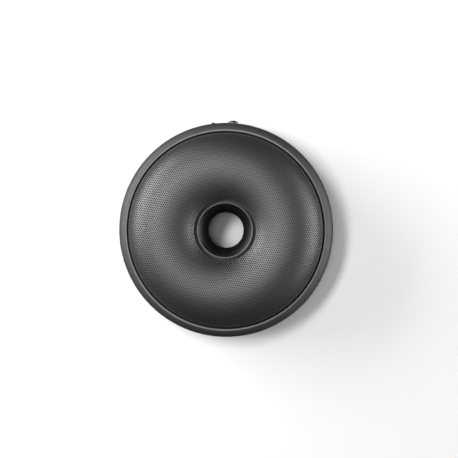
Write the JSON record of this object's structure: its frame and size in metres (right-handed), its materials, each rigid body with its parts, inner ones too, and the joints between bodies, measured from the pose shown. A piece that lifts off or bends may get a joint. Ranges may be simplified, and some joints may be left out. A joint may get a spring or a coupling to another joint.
{
  "type": "ring-shaped portable speaker",
  "caption": "Ring-shaped portable bluetooth speaker with a perforated domed front, an open funnel through its middle, a soft-touch bowl and edge controls.",
  "frame": {"origin": "centre of the base, on the plane that the rubber foot stands on", "axes": "+Z out of the perforated front along the hole through the middle, +Y towards the button and the stick on the edge"},
  "size_m": [0.156, 0.1578, 0.05],
  "materials": {
    "soft_touch_shell": "satin soft-touch coating",
    "grille_metal": "satin powder coat",
    "acoustic_cloth": "woven, matt",
    "foam": "closed-cell foam, matt",
    "inner_plastic": "moulded, fine grain",
    "funnel_plastic": "moulded, satin",
    "cover_plastic": "moulded, fine grain",
    "foot_rubber": "matt",
    "seal_rubber": "matt",
    "screw_steel": "blackened zinc",
    "basket_steel": "black enamel",
    "pole_steel": "zinc plated",
    "ferrite": "sintered, matt",
    "cone_paper": "pressed pulp, coated",
    "spider_cloth": "impregnated cotton",
    "coil_former": "thin foil",
    "copper": "enamelled winding",
    "board_laminate": "solder mask",
    "shield_can": "tinned",
    "chip_resin": "moulded resin",
    "can_aluminium": "drawn",
    "connector_plastic": "moulded",
    "socket_steel": "plated",
    "jack_plastic": "moulded",
    "cell_wrap": "shrink wrap",
    "lead_insulation": "insulation",
    "ribbon_film": "film",
    "lens": "frosted",
    "nub_metal": "turned, satin",
    "button_rubber": "satin",
    "switch_plastic": "moulded"
  },
  "bodies": {
    "root": {"front_grille": "grille_metal", "acoustic_cloth": "acoustic_cloth", "grille_gasket": "foam", "outer_shell": "soft_touch_shell", "front_baffle": "inner_plastic", "baffle_screws": "screw_steel", "centre_funnel": "funnel_plastic", "funnel_screws": "screw_steel", "rear_funnel": "cover_plastic", "funnel_o_ring": "seal_rubber", "rear_cover": "cover_plastic", "housing_gasket": "foam", "case_screws": "screw_steel", "foot_ring": "foot_rubber", "driver_basket": "basket_steel", "driver_gasket": "foam", "driver_top_plate": "pole_steel", "driver_magnet": "ferrite", "driver_yoke": "pole_steel", "driver_surround": "seal_rubber", "driver_spider": "spider_cloth", "driver_terminals": "board_laminate", "driver_screws": "screw_steel", "radiator_frame": "inner_plastic", "radiator_gasket": "foam", "radiator_surround": "seal_rubber", "radiator_screws": "screw_steel", "main_board": "board_laminate", "board_screws": "screw_steel", "bluetooth_module": "shield_can", "amplifier_chip": "chip_resin", "capacitor_cans": "can_aluminium", "lead_connectors": "connector_plastic", "usb_socket": "socket_steel", "aux_jack": "jack_plastic", "battery_cell": "cell_wrap", "battery_cradle": "inner_plastic", "battery_pad": "foam", "protection_board": "board_laminate", "battery_leads": "lead_insulation", "driver_leads": "lead_insulation", "control_ribbon": "ribbon_film", "control_board": "board_laminate", "status_light": "lens", "light_pipe": "lens", "power_switch": "switch_plastic", "stick_switch": "switch_plastic"},
    "power_button": {"power_button": "button_rubber", "power_plunger": "switch_plastic"},
    "stick_press": {"stick_plunger": "switch_plastic"},
    "stick_yoke": {"stick_gimbal": "pole_steel"},
    "stick": {"stick_stem": "pole_steel", "stick_cap": "nub_metal"},
    "driver_diaphragm": {"driver_cone": "cone_paper", "driver_dust_cap": "cone_paper", "driver_coil_former": "coil_former", "driver_voice_coil": "copper"},
    "radiator_piston": {"radiator_plate": "inner_plastic", "radiator_weight": "pole_steel"}
  },
  "joints": [
    {"name": "power_push", "type": "slide", "parent": "root", "child": "power_button", "axis": [0, -1, 0], "range_m": [0, 0.0005], "stiffness_N_per_m": 2500},
    {"name": "stick_push", "type": "slide", "parent": "root", "child": "stick_press", "axis": [0, -1, 0], "range_m": [0, 0.0004], "stiffness_N_per_m": 4000},
    {"name": "stick_tilt_side", "type": "hinge", "parent": "stick_press", "child": "stick_yoke", "pos_m": [0.0051, 0.072, 0.021], "axis": [0, 0, 1], "range_deg": [-8, 8], "stiffness_Nm_per_rad": 0.05},
    {"name": "stick_tilt_fore_aft", "type": "hinge", "parent": "stick_yoke", "child": "stick", "pos_m": [0.0051, 0.072, 0.021], "axis": [1, 0, 0], "range_deg": [-8, 8], "stiffness_Nm_per_rad": 0.05},
    {"name": "driver_stroke", "type": "slide", "parent": "root", "child": "driver_diaphragm", "axis": [0, 0, 1], "range_m": [-0.0015, 0.0015], "stiffness_N_per_m": 1500, "deforming": ["driver_surround", "driver_spider"]},
    {"name": "radiator_stroke", "type": "slide", "parent": "root", "child": "radiator_piston", "axis": [0, 0, 1], "range_m": [-0.002, 0.002], "stiffness_N_per_m": 1200, "deforming": ["radiator_surround"]}
  ]
}
